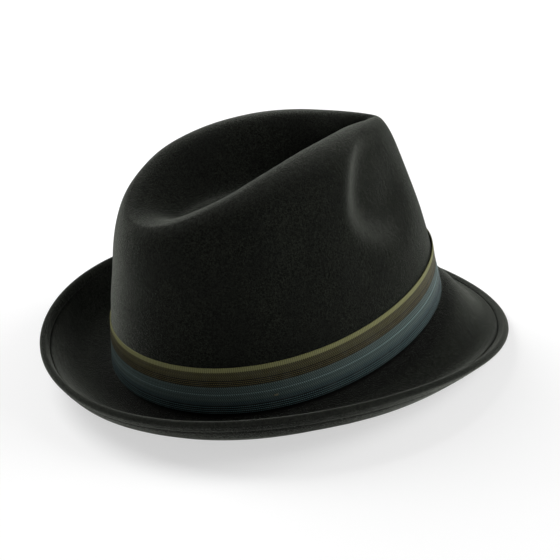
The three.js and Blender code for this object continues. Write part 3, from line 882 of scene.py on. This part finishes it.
def sweat_stitches():
    """The stitches that hold the leather to the tape, near its lower edge."""
    stations = np.linspace(-0.5, 0.5, 9)
    t = around(SWEATBAND.stitches)[:, None] + stations[None, :] * TURN / SWEATBAND.stitches * 0.86
    share = (SWEATBAND.stitch - SWEATBAND.bottom) / (SWEATBAND.top - SWEATBAND.bottom)
    face = leather_lift(share) - SWEATBAND.thickness
    arch = np.sqrt(np.clip(1 - (2 * stations) ** 2, 0, 1))
    centres = on_wall(t, SWEATBAND.stitch, face + 0.22 - 0.34 * arch[None, :])
    return tubes("leather_stitches", centres, 0.2)


def tape_piece():
    """The tape lies on the felt and turns in under the reed to the leather's lower edge."""
    angle = np.radians(np.linspace(-80, 0, 8))
    radius = abs(REED.lift - TAPE.face)
    low = np.stack([REED.height + radius * np.sin(angle), REED.lift + radius * np.cos(angle)], -1)
    high = np.stack([np.linspace(REED.height + 1, TAPE.top, 8), np.full(8, TAPE.face)], -1)
    return wall_sheet("woven_tape", np.concatenate([low, high]), TAPE.thickness, 300)


def lining_side_piece():
    """The side of the lining hangs in soft upright folds, gathered at the piping."""
    share = np.linspace(0, 1, 26)
    profile = np.stack([lerp(LINING.bottom, LINING.top, share), np.full(26, LINING.face)], -1)

    def wave(t, height):
        rise = (height - LINING.bottom) / (LINING.top - LINING.bottom)
        folds = np.sin(46 * t + 1.3 * np.sin(5 * t)) + 0.6 * np.sin(71 * t + 2.0 * np.sin(3 * t) + 1.0)
        slack = np.sin(9 * t + 2.5 * rise) + np.sin(4 * t + 1)
        amount = 0.12 + 0.38 * smoothstep(rise, 0.35, 0.98)
        return -amount * (1.6 + folds) - 0.5 * np.sin(math.pi * rise) * (2 + slack)

    return wall_sheet("satin_side", profile, LINING.thickness, 720, wave)


def rim_lift():
    """How far in the piping lies: clear of the deepest fold of the lining's side."""
    return LINING.face - LINING.thickness - LINING.deepest_fold - PIPING_RADIUS


def piping_piece():
    t = around(480)
    bead = 0.06 * np.sin(240 * t)
    centres = on_wall(t, LINING.top + 0.3, rim_lift() + bead)
    return tubes("satin_piping", centres[None], PIPING_RADIUS, sides=10, ring=True)


def lining_tip_piece():
    """The top panel sags, and puckers towards the seam with the piping."""
    t = around(360)[:, None]
    share = np.linspace(0, 1, 34)[None, :]
    rim = on_wall(t, LINING.top, rim_lift() - PIPING_RADIUS - 0.05)
    centre = np.array([0, (CREASE.front + CREASE.back) / 2, LINING.top])
    flat = rim * (1 - share[..., None]) + centre * share[..., None]
    pucker = np.sin(58 * t + 1.4 * np.sin(4 * t)) + 0.5 * np.sin(93 * t + 1.0)
    drop = LINING.sag * (1 - (1 - share) ** 2.2)
    slack = 0.7 * ripple(flat * [1, 1, 0], 45, 8) * smoothstep(share, 0.05, 0.5)
    lower = flat + vec(0, 0, 0.45 * pucker * np.exp(-share * 7) - drop + slack)
    lower[:, -1] = lower[:, -1].mean(0)
    upper = lower + vec(0, 0, LINING.thickness)
    rows = np.concatenate([lower, upper[:, ::-1]], 1)
    v = np.concatenate([share[0], share[0, ::-1]])
    radius = np.linalg.norm(rim - centre, axis=-1).mean()
    u = np.linspace(0, TURN * radius, 361)
    return loft("satin_tip", rows, True, skip=share.shape[1] - 1, u=u, v=v), rim[:, 0]


def label_piece():
    """A blank label on the sweatband's inner face, whose free upper edge curls a little."""
    along = np.linspace(0, 1, 28)[:, None]
    rise = np.linspace(0, 1, 22)[None, :]
    t = np.radians(lerp(*LABEL.degrees, along))
    height = lerp(*LABEL.heights, rise)
    curl = 0.5 * smoothstep(rise, 0.5, 1) * (0.4 + along)
    lift = SWEATBAND.face - SWEATBAND.belly - SWEATBAND.thickness - 0.35 - curl
    front = on_wall(t, height, lift)
    back = on_wall(t, height, lift - LABEL.thickness)
    rows = np.concatenate([front, back[:, ::-1]], 1)
    width = np.linalg.norm(front[-1, 0] - front[0, 0])
    u = np.linspace(0, width, 28)
    v = np.concatenate([rise[0], rise[0, ::-1]])
    return loft("blank_label", rows, False, u=u, v=v), width, LABEL.heights[1] - LABEL.heights[0]


def rear_bow_piece():
    """The tiny flat bow at the back of the sweatband: two loops and a knot."""
    stations, sides = 41, 14
    s = np.linspace(-1, 1, stations)
    angle = around(sides)
    loops = 0.35 + 0.65 * np.abs(np.sin(np.clip(np.abs(s), 0.02, 1) * math.pi * 0.58)) ** 0.8
    knot = np.exp(-((s / 0.12) ** 4))
    tall = REAR_BOW.half_height * loops * np.sqrt(np.clip(1 - s ** 8, 0.01, 1)) * (1 - 0.45 * knot)
    thick = (0.42 + 0.3 * np.abs(s) * (1 - s ** 6)) * (1 - knot) + 0.75 * knot
    t = math.pi + np.radians(REAR_BOW.half_degrees * s)[:, None]
    base = SWEATBAND.face - SWEATBAND.belly - SWEATBAND.thickness - 1.25
    crimp = 0.12 * np.cos(5 * angle)[None, :] * (1 - knot)[:, None]
    height = REAR_BOW.height + tall[:, None] * np.cos(angle)[None, :]
    lift = base + thick[:, None] * np.sin(angle)[None, :] + crimp
    rows = on_wall(t, height, lift)
    return loft("rear_bow", rows, False, u=np.arange(stations) * 0.4, sharp=80)


# ---------------------------------------------------------------- putting the hat together
felt = felt_material()
felt_thread = thread_material("felt_thread", (0.0015, 0.0016, 0.0015), (0.006, 0.0063, 0.0057))
ribbon_thread = thread_material("ribbon_thread", (0.10, 0.095, 0.06), (0.34, 0.32, 0.22))
ribbon = ribbon_material()
satin = woven_material("lining_satin", (0.012, 0.015, 0.02), (0.03, 0.036, 0.048),
                       pitch=0.35, roughness=0.34, sheen=0.25, depth=0.02)
bow_satin = woven_material("bow_satin", (0.01, 0.012, 0.016), (0.028, 0.032, 0.04),
                           pitch=0.4, roughness=0.36, sheen=0.3, depth=0.03)
cotton = woven_material("reed_tape", (0.016, 0.015, 0.013), (0.045, 0.042, 0.037),
                        pitch=0.5, roughness=0.85, sheen=0.2, depth=0.05)
label = woven_material("label_tape", (0.42, 0.39, 0.32), (0.66, 0.63, 0.55),
                       pitch=0.4, roughness=0.8, sheen=0.2, depth=0.05)

dress(felt_piece(), felt, "wool_felt", "felt_body")
dress(edge_stitches("brim_stitches_upper", 1), felt_thread, "felt_thread", "brim_stitch_top")
dress(edge_stitches("brim_stitches_lower", -1), felt_thread, "felt_thread", "brim_stitch_under")

band = dress(band_piece(), ribbon, "striped_ribbon", "hat_band")

tail = dress(tail_piece(), ribbon, "striped_ribbon", "bow_tail")
for loop_name, node_name, loop_end in (
    ("bow_rear_loop", "bow_loop_rear", BOW.loop_rear),
    ("bow_front_loop", "bow_loop_front", BOW.loop_front),
):
    bow_loop, length = loop_piece(loop_name, math.copysign(BOW.loop_gap, loop_end), loop_end)
    dress(bow_loop, ribbon, "striped_ribbon", node_name)
knot, length = knot_piece()
dress(knot, ribbon, "striped_ribbon", "bow_knot")

for place_name, degrees in (("front", 0), ("rear", 150), ("right", 243)):
    tack = tack_piece(f"tack_{place_name}", degrees)
    dress(tack, ribbon_thread, "ribbon_thread", f"ribbon_tack_{place_name}")

tape, length, width = tape_piece()
dress(tape, cotton, "reed_tape", "reed_tape")
reed_line = on_wall(around(300), REED.height, REED.lift)[None]
dress(tubes("plastic_reed", reed_line, REED.radius, sides=12, ring=True), reed_material(),
      "reed_plastic", "sweatband_reed")
leather, length, width = sweatband_piece()
dress(leather, leather_material(), "sweatband_leather", "sweatband")
dress(sweat_stitches(), felt_thread, "felt_thread", "sweatband_stitch")
dress(rear_bow_piece(), bow_satin, "bow_satin", "sweatband_bow")
size_label, width, height = label_piece()
dress(size_label, label, "label_tape", "size_tab")

side, length, width = lining_side_piece()
dress(side, satin, "lining_satin", "lining_side")
dress(piping_piece(), bow_satin, "bow_satin", "lining_piping")
tip, tip_rim = lining_tip_piece()
dress(tip, satin, "lining_satin", "lining_tip")


# ---------------------------------------------------------------- floor, light and camera
def stage_floor():
    """A large plain pale floor."""
    half = 4.0
    corners = [(-half, -half, 0), (half, -half, 0), (half, half, 0), (-half, half, 0)]
    mesh = bpy.data.meshes.new("floor")
    mesh.from_pydata(corners, [], [(0, 1, 2, 3)])
    floor = bpy.data.objects.new("floor", mesh)
    bpy.context.scene.collection.objects.link(floor)
    pale, white = (0.55, 0.55, 0.55, 1), (1, 1, 1, 1)
    material, _ = new_material("floor_paper", 0.9, Base_Color=pale, Specular_IOR_Level=0.0,
                               Emission_Color=white, Emission_Strength=0.55)
    mesh.materials.append(material)


def from_angles(azimuth, elevation):
    """The direction, in the hat's own axes, from which a camera at these angles looks."""
    a, e = math.radians(azimuth), math.radians(elevation)
    return np.array([math.sin(a) * math.cos(e), -math.cos(a) * math.cos(e), math.sin(e)])


def look(obj, place, target, up):
    """Puts obj at place, its -Z towards target. All in metres and the row frame."""
    back = unit(place - target)
    right = unit(np.cross(up, back))
    axes = np.stack([right, np.cross(back, right), back], -1)
    turned = np.eye(4)
    turned[:3, :3] = axes
    turned[:3, 3] = place
    obj.matrix_world = Matrix(turned.tolist())


CAMERA = Sizes(azimuth=245, elevation=30.05, roll=10.1, distance=1400, aim=24.46, lens=153.9)


def photo_camera():
    back = from_angles(CAMERA.azimuth, CAMERA.elevation)
    right = unit(np.cross([0, 0, 1], back))
    roll = math.radians(CAMERA.roll)
    up = math.sin(roll) * right + math.cos(roll) * np.cross(back, right)
    data = bpy.data.cameras.new("camera")
    data.lens = CAMERA.lens
    data.clip_end = 20
    camera = bpy.data.objects.new("camera", data)
    bpy.context.scene.collection.objects.link(camera)
    bpy.context.scene.camera = camera
    look(camera, to_row(back * CAMERA.distance), to_row(up * CAMERA.aim), up @ HAT_AXES)


def area_light(name, azimuth, elevation, distance, size, power):
    """A soft square light that looks at the crown. Angles are in the row frame, lengths in metres."""
    data = bpy.data.lights.new(name, "AREA")
    data.size = size
    data.energy = power
    lamp = bpy.data.objects.new(name, data)
    bpy.context.scene.collection.objects.link(lamp)
    target = np.array([0, 0, 0.06])
    place = target + from_angles(azimuth, elevation) * distance
    look(lamp, place, target, np.array([0, 0, 1.0]))


def white_world(horizon, zenith):
    """A white studio that is brightest all round at the height of the hat and dimmer overhead."""
    world = bpy.data.worlds.new("white")
    bpy.context.scene.world = world
    world.use_nodes = True
    background = world.node_tree.nodes["Background"]
    background.inputs["Color"].default_value = (1, 1, 1, 1)
    up = node(world, "SeparateXYZ", {0: node(world, "TexCoord").outputs["Generated"]}).outputs["Z"]
    world.node_tree.links.new(curve(world, up, 0, 1, horizon, zenith), background.inputs["Strength"])


stage_floor()
photo_camera()
white_world(horizon=0.42, zenith=0.06)
area_light("key", azimuth=335, elevation=26, distance=1.6, size=1.1, power=19)
area_light("fill", azimuth=245, elevation=15, distance=2.0, size=1.1, power=3)
area_light("rim", azimuth=108, elevation=40, distance=1.6, size=1.1, power=21)
bpy.context.scene.view_settings.view_transform = "Standard"
